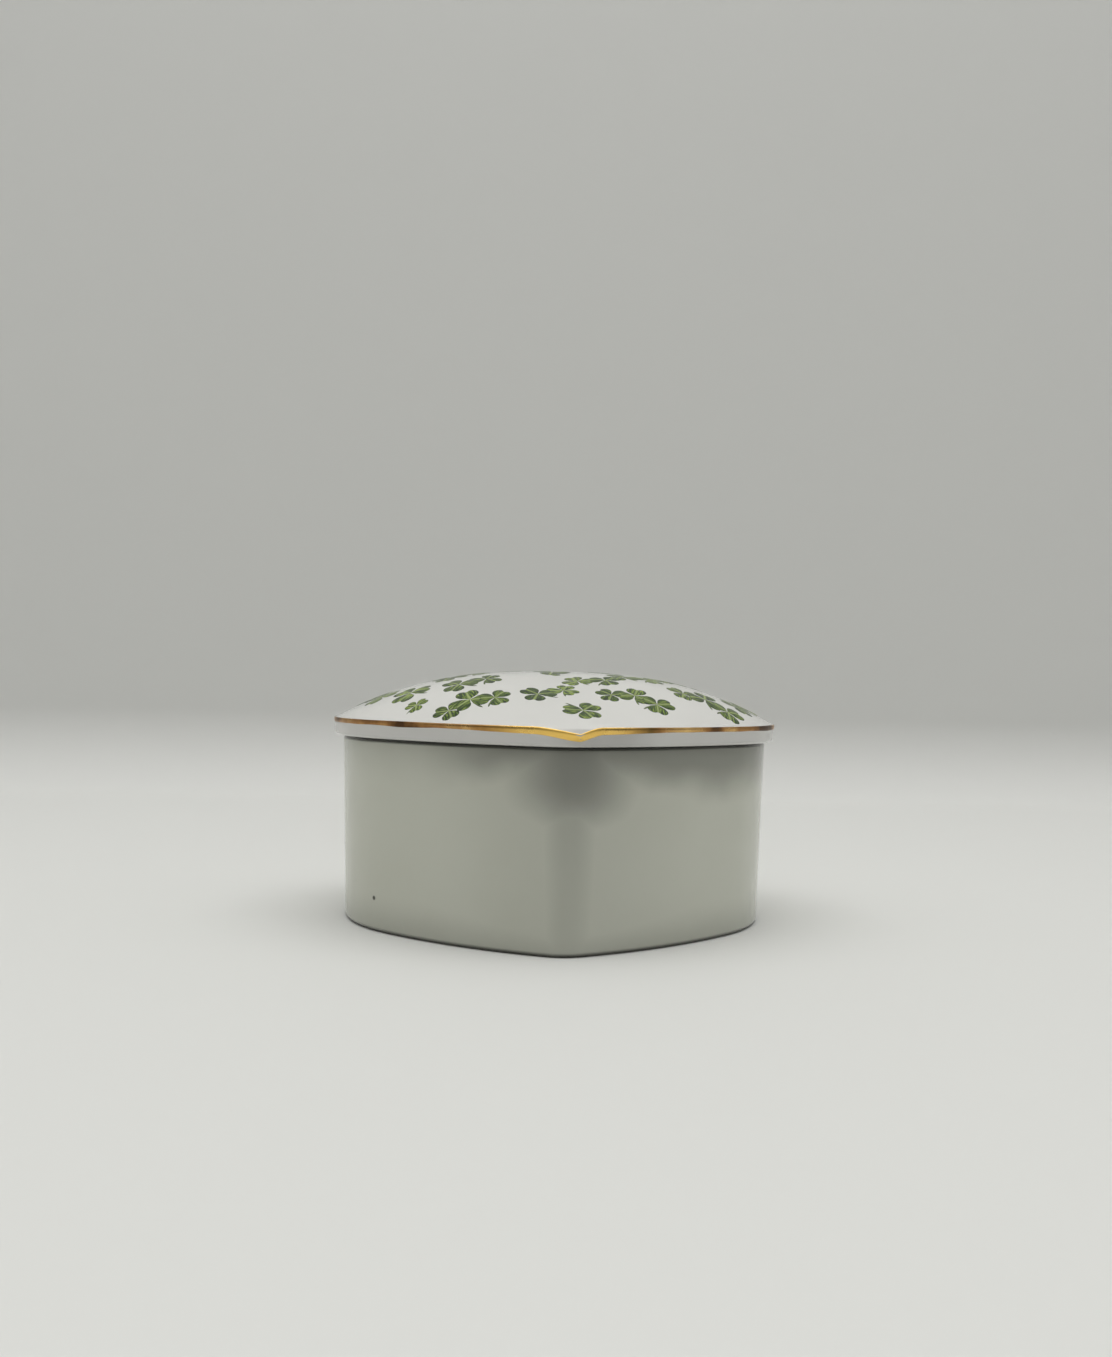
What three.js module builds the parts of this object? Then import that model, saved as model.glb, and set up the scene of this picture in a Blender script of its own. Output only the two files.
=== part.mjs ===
// Heart-shaped porcelain trinket box: a slip-cast body and a domed lift-off lid.
// Millimetres, +Z up. The heart's tip points to -Y. The origin is on the surface that
// the box stands on, under the middle of the lid's bounding box.

import * as THREE from 'three';

// ---- The heart's plan, at the body's foot -------------------------------------------
const FOOT_WIDTH = 73.8;        // across the two lobes
const LOBE_BACK = 34;           // the widest line, behind the tip
const LOBE_RADIUS = 23.7;       // outer side of each lobe
const TIP_RADIUS = 8.3;         // the rounded point of the heart
const SIDE_RADIUS = 78.5;       // the long, slightly bulging flank from tip to lobe
const SHOULDER_RADIUS = 16.5;   // back of each lobe
const SHOULDER_TURN = 58;       // degrees from +X at which the lobe gives way to the shoulder
const NOTCH_RADIUS = 4.6;       // the rounded bottom of the notch between the lobes

// ---- Body ---------------------------------------------------------------------------
const BODY_HEIGHT = 31.9;
const BODY_DRAFT = 0.0286;      // the wall leans out by this much for each mm of height
const WALL = 3;
const EDGE_ROUND = 1.1;         // the foot's outer edge
const RIM_ROUND = 0.6;
const FOOT_RING_WIDTH = 2.6;
const FOOT_RECESS = 1.2;        // the underside stands clear of the table by this much
const FLOOR_THICKNESS = 3.2;
const FLOOR_FILLET = 3.5;
const BORE_TAPER = 0.4;         // how much thicker the wall is at the floor

// ---- Lid ----------------------------------------------------------------------------
const SEAT_GAP = 0.15;          // fired rims touch at a few high spots and stand off between
const LID_OVERHANG = 2.45;      // flange's bottom edge, out from the foot's outline
const EDGE_OVERHANG = 2.65;     // flange's top edge, where the dome begins
const EDGE_HEIGHT = 35;         // the top edge, above the table
const DOME_RISE = 8.8;          // from the top edge to the top of the dome
const DOME_POWER = 2.6;         // higher is flatter on top and steeper at the edge
const TIP_POWER = 1.6;          // towards the tip it climbs more evenly
const TIP_NARROW = 4;           // how narrow that gentler part is
const DOME_BLEND = 3;           // how soon the heart's outline melts away up the dome
const DOME_HALF_WIDTH = 38;     // the rounder outline that it melts into
const DOME_HALF_DEPTH = 30;
const DOME_CENTRE_BACK = 31;    // the dome's top, behind the tip
const LID_THICKNESS = 3;
const COLLAR_DROP = 3.6;        // the collar that hangs inside the body's rim
const COLLAR_THICKNESS = 2.1;
const COLLAR_CLEARANCE = 0.8;
const VAULT_LIFT = 1.2;         // the vault springs this far above the top edge
const VAULT_INSET = 1;          // and this far in from the collar's inside
const LID_ROUND = 0.45;         // corners of the flange and the collar
const DOME_FOOT_LIFT = 0.13;    // the top edge's corner is rounded up to here
const CORNER_DROP = 0.1;        // the middle of that rounding lies this far below the edge

// ---- The small beak that the lid's top edge draws out over the heart's tip ------------
const BEAK_HALF_WIDTH = 5;
const BEAK_LEAN = 1.7;          // hand-fettled, so its point sits a little to +X
const BEAK_DROP = 1;
const BEAK_REACH = 0.9;
const BEAK_FADE = 9;            // how soon it melts away up the dome

// ---- Facets -------------------------------------------------------------------------
const TIP_STEPS = 6;
const SIDE_STEPS = 9;
const LOBE_STEPS = 5;           // on each side of the widest point
const SHOULDER_STEPS = 4;       // on each side of the rearmost point
const NOTCH_STEPS = 4;
const DOME_RINGS = [0.97, 0.9, 0.8, 0.68, 0.54, 0.38, 0.2, 0.06];
const VAULT_RINGS = [0.2, 0.42, 0.62, 0.8, 0.93, 1];

// Points of one arc, angles in radians. bias above 1 crowds them towards the start.
function arcPoints(centre, radius, from, to, steps, bias = 1) {
  const points = [];
  for (let i = 0; i <= steps; i += 1) {
    const angle = from + (to - from) * (i / steps) ** bias;
    points.push(new THREE.Vector2(Math.cos(angle), Math.sin(angle)).multiplyScalar(radius).add(centre));
  }
  return points;
}

// The plan is five tangent arcs on the right half, from tip to notch, mirrored to the left.
// Their centres never move, so growing every radius by `offset` gives a parallel outline
// with the same number of points.
const tipCentre = new THREE.Vector2(0, TIP_RADIUS);
const lobeCentre = new THREE.Vector2(FOOT_WIDTH / 2 - LOBE_RADIUS, LOBE_BACK);
const sideCentre = tangentCentre(tipCentre, SIDE_RADIUS - TIP_RADIUS, lobeCentre, SIDE_RADIUS - LOBE_RADIUS);
const shoulderTurn = THREE.MathUtils.degToRad(SHOULDER_TURN);
const shoulderWay = new THREE.Vector2(Math.cos(shoulderTurn), Math.sin(shoulderTurn));
const shoulderCentre = lobeCentre.clone().addScaledVector(shoulderWay, LOBE_RADIUS - SHOULDER_RADIUS);
const notchCentre = new THREE.Vector2(
  0, shoulderCentre.y + Math.sqrt((SHOULDER_RADIUS + NOTCH_RADIUS) ** 2 - shoulderCentre.x ** 2));

// The centre that lies at distance ra from a and rb from b, on the left of a to b.
function tangentCentre(a, ra, b, rb) {
  const gap = a.distanceTo(b);
  const along = (gap * gap + ra * ra - rb * rb) / (2 * gap);
  const across = Math.sqrt(ra * ra - along * along);
  const unit = b.clone().sub(a).normalize();
  const left = new THREE.Vector2(-unit.y, unit.x);
  return a.clone().addScaledVector(unit, along).addScaledVector(left, across);
}

function heartOutline(offset) {
  const sideStart = tipCentre.clone().sub(sideCentre).angle() - 2 * Math.PI;
  const sideEnd = lobeCentre.clone().sub(sideCentre).angle() - 2 * Math.PI;
  const shoulderEnd = notchCentre.clone().sub(shoulderCentre).angle();
  const arcs = [
    arcPoints(tipCentre, TIP_RADIUS + offset, -Math.PI / 2, sideStart, TIP_STEPS),
    arcPoints(sideCentre, SIDE_RADIUS + offset, sideStart, sideEnd, SIDE_STEPS, 1.5),
    arcPoints(lobeCentre, LOBE_RADIUS + offset, sideEnd, 0, LOBE_STEPS),
    arcPoints(lobeCentre, LOBE_RADIUS + offset, 0, shoulderTurn, LOBE_STEPS),
    arcPoints(shoulderCentre, SHOULDER_RADIUS + offset, shoulderTurn, Math.PI / 2, SHOULDER_STEPS),
    arcPoints(shoulderCentre, SHOULDER_RADIUS + offset, Math.PI / 2, shoulderEnd, SHOULDER_STEPS),
    arcPoints(notchCentre, NOTCH_RADIUS - offset, shoulderEnd - Math.PI, -Math.PI / 2, NOTCH_STEPS),
  ];
  const right = arcs.flatMap((arc, k) => (k === 0 ? arc : arc.slice(1)));
  const left = right.slice(1, -1).reverse().map((p) => new THREE.Vector2(-p.x, p.y));
  return [...right, ...left];
}

// One ring of a skin: the outline at `offset`, level at height z.
function levelRing(offset, z) {
  return heartOutline(offset).map((p) => new THREE.Vector3(p.x, p.y, z));
}

// A quarter-round edge as rings, from one offset and height to the other.
// turn is 1 where the edge leaves its first ring along the wall, and 0 along the flat.
function roundedEdge(fromOffset, fromZ, toOffset, toZ, turn, steps = 3) {
  const rings = [];
  for (let i = 0; i <= steps; i += 1) {
    const angle = (i / steps) * (Math.PI / 2);
    const early = Math.sin(angle);
    const late = 1 - Math.cos(angle);
    const across = turn ? late : early;
    const up = turn ? early : late;
    rings.push(levelRing(fromOffset + (toOffset - fromOffset) * across, fromZ + (toZ - fromZ) * up));
  }
  return rings;
}

// A closed solid from rings with equal point counts: a wall between neighbours,
// and a fan from a middle point over the first ring and over the last.
function skin(rings) {
  const count = rings[0].length;
  const points = rings.flat();
  const index = [];
  for (let row = 0; row + 1 < rings.length; row += 1) {
    for (let i = 0; i < count; i += 1) {
      const a = row * count + i;
      const b = row * count + ((i + 1) % count);
      index.push(a, b, b + count, a, b + count, a + count);
    }
  }
  const fan = (ring, start, flip) => {
    const middle = points.length;
    const height = ring.reduce((sum, p) => sum + p.z, 0) / count;
    points.push(new THREE.Vector3(0, DOME_CENTRE_BACK, height));
    for (let i = 0; i < count; i += 1) {
      const a = start + i;
      const b = start + ((i + 1) % count);
      index.push(middle, ...(flip ? [a, b] : [b, a]));
    }
  };
  fan(rings[0], 0, false);
  fan(rings.at(-1), (rings.length - 1) * count, true);
  const geometry = new THREE.BufferGeometry().setFromPoints(points);
  geometry.setIndex(index);
  geometry.computeVertexNormals();
  return geometry;
}

// ---- Body: a cup with a standing ring under it ---------------------------------------
const rimOffset = BODY_HEIGHT * BODY_DRAFT;
const boreOffset = rimOffset - WALL;

function bodyGeometry() {
  const floorTop = FOOT_RECESS + FLOOR_THICKNESS;
  const footOut = -EDGE_ROUND;
  const footIn = footOut - FOOT_RING_WIDTH;
  const boreFoot = -WALL - BORE_TAPER;
  return skin([
    levelRing(footIn - FOOT_RECESS, FOOT_RECESS),
    levelRing(footIn, 0),
    ...roundedEdge(footOut, 0, EDGE_ROUND * BODY_DRAFT, EDGE_ROUND, 0),
    ...roundedEdge(rimOffset, BODY_HEIGHT - RIM_ROUND, rimOffset - RIM_ROUND, BODY_HEIGHT, 1, 2),
    ...roundedEdge(boreOffset + RIM_ROUND, BODY_HEIGHT, boreOffset, BODY_HEIGHT - RIM_ROUND, 0, 2),
    ...roundedEdge(boreFoot, floorTop + FLOOR_FILLET, boreFoot - FLOOR_FILLET, floorTop, 1),
  ]);
}

// ---- Lid ----------------------------------------------------------------------------
// How far along the beak a point is: 1 at its point, 0 beyond its ends.
function beak(x) {
  const reach = x < BEAK_LEAN ? BEAK_HALF_WIDTH + BEAK_LEAN : BEAK_HALF_WIDTH - BEAK_LEAN;
  return Math.max(0, 1 - Math.abs(x - BEAK_LEAN) / reach);
}

// Each outline point's share of the beak. The notch has the same x, so y tells them apart.
const beakShare = heartOutline(EDGE_OVERHANG).map((p) => (p.y < TIP_RADIUS ? beak(p.x) : 0));

// Draws a ring out at the tip, forward and down.
function drawOutBeak(ring, strength) {
  return ring.map((p, i) => new THREE.Vector3(
    p.x, p.y - BEAK_REACH * strength * beakShare[i], p.z - BEAK_DROP * strength * beakShare[i]));
}

// Rings that climb from a border ring to the middle of a dome. Towards the top they
// melt from the heart into an ellipse, so that the notch and the tip fade out.
function domeRings(border, rise, fractions) {
  return fractions.map((part) => border.map((p) => {
    const dx = p.x;
    const dy = p.y - DOME_CENTRE_BACK;
    const reach = Math.hypot(dx, dy);
    const ellipse = 1 / Math.hypot(dx / reach / DOME_HALF_WIDTH, dy / reach / DOME_HALF_DEPTH);
    const keep = part ** DOME_BLEND;
    const radius = part * (reach * keep + ellipse * (1 - keep));
    const scale = radius / reach;
    const power = THREE.MathUtils.lerp(DOME_POWER, TIP_POWER, Math.max(0, -dy / reach) ** TIP_NARROW);
    const z = p.z + rise * (1 - part ** power);
    return new THREE.Vector3(dx * scale, DOME_CENTRE_BACK + dy * scale, z);
  }));
}

function lidGeometry() {
  const seat = BODY_HEIGHT + SEAT_GAP;
  const collarOut = boreOffset - COLLAR_CLEARANCE;
  const collarIn = collarOut - COLLAR_THICKNESS;
  const collarFoot = seat - COLLAR_DROP;
  const domeFoot = levelRing(EDGE_OVERHANG - LID_ROUND, EDGE_HEIGHT + DOME_FOOT_LIFT);
  const dome = domeRings(domeFoot, DOME_RISE - DOME_FOOT_LIFT, DOME_RINGS);
  const vaultFoot = EDGE_HEIGHT + VAULT_LIFT;
  const vaultRise = EDGE_HEIGHT + DOME_RISE - LID_THICKNESS - vaultFoot;
  return skin([
    ...domeRings(levelRing(collarIn - VAULT_INSET, vaultFoot), vaultRise, VAULT_RINGS),
    levelRing(collarIn, EDGE_HEIGHT),
    levelRing(collarIn, collarFoot + LID_ROUND),
    levelRing(collarIn + LID_ROUND, collarFoot),
    levelRing(collarOut - LID_ROUND, collarFoot),
    levelRing(collarOut, collarFoot + LID_ROUND),
    levelRing(collarOut, seat),
    ...roundedEdge(LID_OVERHANG - LID_ROUND, seat, LID_OVERHANG, seat + LID_ROUND, 0, 2),
    drawOutBeak(levelRing(EDGE_OVERHANG, EDGE_HEIGHT - LID_ROUND), 1),
    drawOutBeak(levelRing(EDGE_OVERHANG - DOME_FOOT_LIFT, EDGE_HEIGHT - CORNER_DROP), 1),
    drawOutBeak(domeFoot, 1),
    ...dome.map((ring, k) => drawOutBeak(ring, DOME_RINGS[k] ** BEAK_FADE)),
  ]);
}

// ---- Assembly -------------------------------------------------------------------------
function porcelain(color, roughness) {
  return new THREE.MeshStandardMaterial({ color, roughness, metalness: 0 });
}

const bodyMesh = new THREE.Mesh(bodyGeometry(), porcelain(0xdcded6, 0.12));
bodyMesh.name = 'box_body';

const lidMesh = new THREE.Mesh(lidGeometry(), porcelain(0xf1f1ec, 0.1));
lidMesh.name = 'lid';

const trinketBox = new THREE.Group();
trinketBox.add(bodyMesh, lidMesh);

// Bring the middle of the footprint to the origin.
const bounds = new THREE.Box3().setFromObject(trinketBox);
trinketBox.position.y = -(bounds.min.y + bounds.max.y) / 2;
trinketBox.updateMatrixWorld(true);

export default trinketBox;
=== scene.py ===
# %% [markdown]
# # A heart-shaped porcelain trinket box
#
# The box is two pieces of slip-cast porcelain: a straight-walled body and a domed lid that lifts off.
# A gilt line runs round the lid's edge, and sprays of green clover are fired onto its dome.
#
# The CAD model already fixes every size and the way the lid moves, so this script only makes the
# looks: finer surfaces of the same shape, the decoration, the materials, and a small studio.

import math

import bpy
import numpy as np
from mathutils import Matrix, Vector


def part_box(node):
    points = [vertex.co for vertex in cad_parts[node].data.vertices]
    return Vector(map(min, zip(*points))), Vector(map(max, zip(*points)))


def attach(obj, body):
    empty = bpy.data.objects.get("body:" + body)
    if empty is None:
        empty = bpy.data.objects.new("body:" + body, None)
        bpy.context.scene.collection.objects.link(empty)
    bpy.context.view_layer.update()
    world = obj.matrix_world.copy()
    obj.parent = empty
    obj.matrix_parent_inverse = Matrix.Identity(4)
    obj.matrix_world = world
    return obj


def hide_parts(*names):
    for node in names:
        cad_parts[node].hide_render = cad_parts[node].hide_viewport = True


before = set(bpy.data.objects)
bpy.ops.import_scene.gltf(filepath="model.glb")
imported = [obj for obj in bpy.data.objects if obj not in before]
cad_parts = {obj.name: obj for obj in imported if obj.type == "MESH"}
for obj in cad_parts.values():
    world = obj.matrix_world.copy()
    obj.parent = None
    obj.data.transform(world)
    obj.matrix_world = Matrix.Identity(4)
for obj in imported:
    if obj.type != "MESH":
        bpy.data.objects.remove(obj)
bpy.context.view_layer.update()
body_low, body_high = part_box("box_body")
lid_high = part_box("lid")[1]
MM = 0.001

# %% [markdown]
# ## The heart's plan
#
# A potter's plaster mould starts from a template drawn with compasses. This one has five arcs from
# the tip to the notch, each starting where the last one ends and in the same direction, and the
# other half is its mirror image. Arcs have a great advantage over a freehand curve: when every
# radius grows by the same amount and the centres stay put, the result is an exactly parallel heart.
# So one function draws the foot, the rim, the inside wall and the lid's edge, and because each of
# them has the same number of points, neighbouring outlines can be joined point to point.

# %% Draw the heart outline at any offset
FOOT_WIDTH = 73.8
LOBE_BACK = 34.0
LOBE_RADIUS = 23.7
TIP_RADIUS = 8.3
SIDE_RADIUS = 78.5
SHOULDER_RADIUS = 16.5
SHOULDER_TURN = math.radians(58)
NOTCH_RADIUS = 4.6
ARC_STEPS = (24, 44, 24, 28, 12, 20, 20)


def tangent_centre(a, from_a, b, from_b):
    """The point at the given distances from a and b, on the left of the line a to b."""
    gap = np.linalg.norm(b - a)
    along = (gap**2 + from_a**2 - from_b**2) / (2 * gap)
    across = math.sqrt(from_a**2 - along**2)
    unit = (b - a) / gap
    return a + along * unit + across * np.array([-unit[1], unit[0]])


def bearing(start, end):
    """Direction from one point to another, in radians."""
    return math.atan2(end[1] - start[1], end[0] - start[0])


tip = np.array([0.0, TIP_RADIUS])
lobe = np.array([FOOT_WIDTH / 2 - LOBE_RADIUS, LOBE_BACK])
side = tangent_centre(tip, SIDE_RADIUS - TIP_RADIUS, lobe, SIDE_RADIUS - LOBE_RADIUS)
shoulder_way = np.array([math.cos(SHOULDER_TURN), math.sin(SHOULDER_TURN)])
shoulder = lobe + (LOBE_RADIUS - SHOULDER_RADIUS) * shoulder_way
notch = np.array([0.0, shoulder[1] + math.sqrt((SHOULDER_RADIUS + NOTCH_RADIUS) ** 2 - shoulder[0] ** 2)])


def arc(centre, radius, start, end, steps):
    """Points along an arc, both ends included."""
    angle = np.linspace(start, end, steps + 1)
    return centre + radius * np.column_stack([np.cos(angle), np.sin(angle)])


def heart(offset):
    """A closed heart parallel to the foot's, in mm, with its foot's tip at the origin."""
    leave = bearing(shoulder, notch)
    turns = [
        (tip, TIP_RADIUS + offset, -math.pi / 2, bearing(side, tip)),
        (side, SIDE_RADIUS + offset, bearing(side, tip), bearing(side, lobe)),
        (lobe, LOBE_RADIUS + offset, bearing(side, lobe), 0),
        (lobe, LOBE_RADIUS + offset, 0, SHOULDER_TURN),
        (shoulder, SHOULDER_RADIUS + offset, SHOULDER_TURN, math.pi / 2),
        (shoulder, SHOULDER_RADIUS + offset, math.pi / 2, leave),
        (notch, NOTCH_RADIUS - offset, leave - math.pi, -math.pi / 2),
    ]
    arcs = [arc(*turn, steps) for turn, steps in zip(turns, ARC_STEPS)]
    right = np.vstack([arcs[0], *[a[1:] for a in arcs[1:]]])
    left = right[-2:0:-1] * (-1, 1)
    return np.vstack([right, left])


RIM_LEAN = 0.912  # how far the body leans out at its rim, past its foot
tip_y = body_low.y / MM + RIM_LEAN
print(len(heart(0)), "points round the heart; its foot's tip is at y =", round(tip_y, 2), "mm")

# %% [markdown]
# ## From outlines to a skin
#
# A cast pot is easiest to describe by its section, the line a knife would show if it cut the wall
# from outside to inside. Each corner of that line gets a true radius here, because glaze never
# leaves a sharp edge, and a bright line along a rounded edge is what makes porcelain look real.
# Every point of the section is then one heart outline: its first number is the offset and its
# second the height. Joining outline to outline gives the wall.

# %% Section lines and skins
def rounded_section(corners, steps=7, longest=1.6):
    """A line through (offset, height, radius) corners, with an arc in each corner, evenly divided."""
    points = [np.array(c[:2], float) for c in corners]
    path = [points[0]]
    for k in range(1, len(corners) - 1):
        radius = corners[k][2]
        back = points[k - 1] - points[k]
        ahead = points[k + 1] - points[k]
        back /= np.linalg.norm(back)
        ahead /= np.linalg.norm(ahead)
        half = math.acos(float(np.clip(back @ ahead, -1, 1))) / 2
        start = points[k] + back * radius / math.tan(half)
        end = points[k] + ahead * radius / math.tan(half)
        middle = points[k] + (back + ahead) / np.linalg.norm(back + ahead) * radius / math.sin(half)
        turn_from = bearing(middle, start)
        turn = (bearing(middle, end) - turn_from + math.pi) % (2 * math.pi) - math.pi
        path += list(arc(middle, radius, turn_from, turn_from + turn, steps))
    path.append(points[-1])
    divided = [path[0]]
    for p in path[1:]:
        pieces = max(1, math.ceil(np.linalg.norm(p - divided[-1]) / longest))
        start = divided[-1]
        divided += [start + (p - start) * (i + 1) / pieces for i in range(pieces)]
    return np.array(divided)


def level_ring(offset, height):
    """One heart outline at a height, as 3D points in mm."""
    plan = heart(offset)
    return np.column_stack([plan, np.full(len(plan), height)])


def skin(name, rings):
    """A closed mesh from rings of equal length, with a fan over each end, placed in the frame."""
    count = len(rings[0])
    points = np.vstack([*rings, rings[0].mean(0), rings[-1].mean(0)])
    points[-2:, 2] = rings[0][:, 2].mean(), rings[-1][:, 2].mean()
    faces = []
    for row in range(len(rings) - 1):
        for i in range(count):
            a, b = row * count + i, row * count + (i + 1) % count
            faces.append((a, b, b + count, a + count))
    first, last, top = len(points) - 2, len(points) - 1, (len(rings) - 1) * count
    for i in range(count):
        faces.append((first, (i + 1) % count, i))
        faces.append((last, top + i, top + (i + 1) % count))
    points[:, 1] += tip_y
    mesh = bpy.data.meshes.new(name)
    mesh.from_pydata((points * MM).tolist(), [], faces)
    mesh.shade_smooth()
    piece = bpy.data.objects.new(name, mesh)
    bpy.context.scene.collection.objects.link(piece)
    print(name, "has", len(faces), "faces")
    return piece


MIDDLE_BACK = 31.0  # the plan's middle lies this far behind the foot's tip


def shrinking_rings(border, shares):
    """Rings that close a flat floor towards its middle, at these shares of the border's size."""
    middle = np.array([0, MIDDLE_BACK, border[0, 2]])
    return [middle + (border - middle) * share for share in shares]


# %% [markdown]
# ## The body
#
# The body is a cup whose wall is about 3 mm thick and leans out a little, so that it could slide
# out of its mould. It stands on a narrow ring, and the underside between is raised so that the
# glaze doesn't touch the kiln shelf. The floor meets the wall in a generous curve inside.

# %% Make the body
WALL = 3.0
BODY_HEIGHT = body_high.z / MM
FOOT_RECESS = 1.2
RING_INSIDE = -3.7
FOOT_ROUND = 1.0
RIM_ROUND = 0.6
FLOOR_TOP = 4.4
FLOOR_FILLET = 3.4
BORE_TAPER = 0.4

body_section = rounded_section([
    (RING_INSIDE - 3.5, FOOT_RECESS, 0),
    (RING_INSIDE - FOOT_RECESS, FOOT_RECESS, 0.6),
    (RING_INSIDE, 0, 0.4),
    (0, 0, FOOT_ROUND),
    (RIM_LEAN, BODY_HEIGHT, RIM_ROUND),
    (RIM_LEAN - WALL, BODY_HEIGHT, RIM_ROUND),
    (-WALL - BORE_TAPER, FLOOR_TOP, FLOOR_FILLET),
    (-WALL - 4.6, FLOOR_TOP, 0),
])
FLOOR_SHARES = (0.1, 0.3, 0.5, 0.7, 0.85, 0.95)
wall_rings = [level_ring(offset, height) for offset, height in body_section]
body_rings = [
    *shrinking_rings(wall_rings[0], FLOOR_SHARES),
    *wall_rings,
    *shrinking_rings(wall_rings[-1], FLOOR_SHARES[::-1]),
]
porcelain_body = skin("porcelain_body", body_rings)

# %% Mark the outside of the wall, for the painted shade in the glaze
UNDER_FOOT = -1.5  # the outside starts this far in, under the foot's rounding
ON_RIM = 0.5  # and ends this far in from the outer face, on the rim

offsets, heights = body_section.T
outer_wall = (offsets > UNDER_FOOT) & (heights < BODY_HEIGHT - RIM_ROUND)
outer_wall |= offsets > RIM_LEAN - ON_RIM
outside = np.zeros((len(body_rings), len(body_rings[0])))
outside[len(FLOOR_SHARES):-len(FLOOR_SHARES)] = outer_wall[:, None]
marks = porcelain_body.data.attributes.new("outside", "FLOAT", "POINT")
marks.data.foreach_set("value", np.append(outside.ravel(), (0, 0)))  # the two fan centres aren't outside
print(int(outside.sum()), "points of the body lie on its outside")

# %% [markdown]
# ## The lid
#
# From its edge the dome first climbs steeply and then flattens. Near the edge its level lines are
# hearts, and towards the top they melt into an ellipse, because a soft clay dome can't hold a
# sharp notch far from the rim. The lid's top edge is drawn out over the heart's tip into a small
# beak, which hand finishing has left leaning slightly to one side.

# %% Dome and beak
SEAT_GAP = 0.15
LID_SEAT = BODY_HEIGHT + SEAT_GAP
EDGE_OVERHANG = 2.6
EDGE_HEIGHT = 35.0
EDGE_TOP = EDGE_HEIGHT + 0.05
DOME_TOP = lid_high.z / MM - 0.07  # the enamel on it stays inside the CAD box
DOME_POWER = 2.6  # how the dome flattens towards its top
TIP_POWER = 1.6  # over the tip it climbs more evenly
TIP_NARROW = 4
DOME_BLEND = 3
DOME_HALF_WIDTH = 38.0
DOME_HALF_DEPTH = 30.0
BEAK_HALF_WIDTH = 5.0
BEAK_LEAN = 1.7
BEAK_DROP = 1.0
BEAK_REACH = 0.9
BEAK_FADE = 9
BEAK_EASE = 1.35


def beak_share(plan):
    """How strongly the beak pulls each outline point: 1 at its point, 0 beyond its ends."""
    x = plan[:, 0]
    reach = np.where(x < BEAK_LEAN, BEAK_HALF_WIDTH + BEAK_LEAN, BEAK_HALF_WIDTH - BEAK_LEAN)
    tent = np.clip(1 - np.abs(x - BEAK_LEAN) / reach, 0, 1) ** BEAK_EASE
    return np.where(plan[:, 1] < TIP_RADIUS, tent, 0)


pull = beak_share(heart(EDGE_OVERHANG))
print("the lid sits at", round(LID_SEAT, 2), "mm and its dome ends at", round(DOME_TOP, 2), "mm")


def draw_out(ring, strength):
    """Moves a ring's tip forward and down by the beak."""
    return ring - np.column_stack([0 * pull, BEAK_REACH * pull, BEAK_DROP * pull]) * strength


def dome_rings(border, top, shares):
    """Rings that climb from a border ring to the top, melting from the heart into an ellipse."""
    plan = border[:, :2] - (0, MIDDLE_BACK)
    reach = np.linalg.norm(plan, axis=1)
    way = plan / reach[:, None]
    ellipse = 1 / np.hypot(way[:, 0] / DOME_HALF_WIDTH, way[:, 1] / DOME_HALF_DEPTH)
    power = DOME_POWER + (TIP_POWER - DOME_POWER) * np.maximum(0, -way[:, 1]) ** TIP_NARROW
    rings = []
    for share in shares:
        keep = share**DOME_BLEND
        radius = share * (reach * keep + ellipse * (1 - keep))
        height = border[:, 2] + (top - border[:, 2]) * (1 - share**power)
        rings.append(np.column_stack([way * radius[:, None] + (0, MIDDLE_BACK), height]))
    return rings


# %% Make the lid
COLLAR_PLAY = 0.8
COLLAR_THICKNESS = 2.1
COLLAR_DEPTH = 3.6
COLLAR_OUT = RIM_LEAN - WALL - COLLAR_PLAY
COLLAR_IN = COLLAR_OUT - COLLAR_THICKNESS
COLLAR_FOOT = LID_SEAT - COLLAR_DEPTH
VAULT_FOOT = 36.2
VAULT_TOP = DOME_TOP - WALL
VAULT_SHARES = np.linspace(0.04, 0.97, 24)
DOME_START = 1.6
DOME_START_HEIGHT = EDGE_HEIGHT + 0.5
DOME_SHARES = np.concatenate([np.linspace(0.985, 0.1, 38), [0.05, 0.02]])
FLANGE_FOOT = 2.45
COLLAR_ROUND = 0.7
BEAK_FOOT = LID_SEAT + 0.6
BEAK_CREST = EDGE_HEIGHT - 0.4

lid_section = rounded_section([
    (COLLAR_IN - 1, VAULT_FOOT, 0),
    (COLLAR_IN, VAULT_FOOT - 1.2, 0.6),
    (COLLAR_IN, COLLAR_FOOT, COLLAR_ROUND),
    (COLLAR_OUT, COLLAR_FOOT, COLLAR_ROUND),
    (COLLAR_OUT, LID_SEAT, 0.5),
    (FLANGE_FOOT, LID_SEAT, 0.55),
    (EDGE_OVERHANG, EDGE_TOP, 0.4),
    (DOME_START, DOME_START_HEIGHT, 0),
], longest=0.8)


def lid_ring(offset, height):
    """A ring of the lid's section, with the beak growing up the flange."""
    grown = float(np.clip((height - BEAK_FOOT) / (BEAK_CREST - BEAK_FOOT), 0, 1))
    return draw_out(level_ring(offset, height), grown if offset > 0 else 0)


flange_rings = [lid_ring(offset, height) for offset, height in lid_section]
plain_border = level_ring(DOME_START, DOME_START_HEIGHT)
dome = [
    draw_out(ring, share**BEAK_FADE)
    for ring, share in zip(dome_rings(plain_border, DOME_TOP, DOME_SHARES), DOME_SHARES)
]
vault = dome_rings(flange_rings[0], VAULT_TOP, VAULT_SHARES)
porcelain_lid = skin("porcelain_lid", [*vault, *flange_rings, *dome])

# %% [markdown]
# ## Materials
#
# Hard-paste porcelain is a white, slightly grey-green clay under a clear glossy glaze. Three things
# keep it from looking like plastic: the glaze pools in thin uneven tones, its surface isn't quite
# flat, so reflections wander, and a few specks of iron burn through in the kiln. All of them come
# from noise on Object coordinates here, so they stay on the clay when the lid moves.
#
# A material is a tree of nodes. Short helpers come first, because a tree that is built in a script
# is easiest to read when each line says what it works out.

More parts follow.
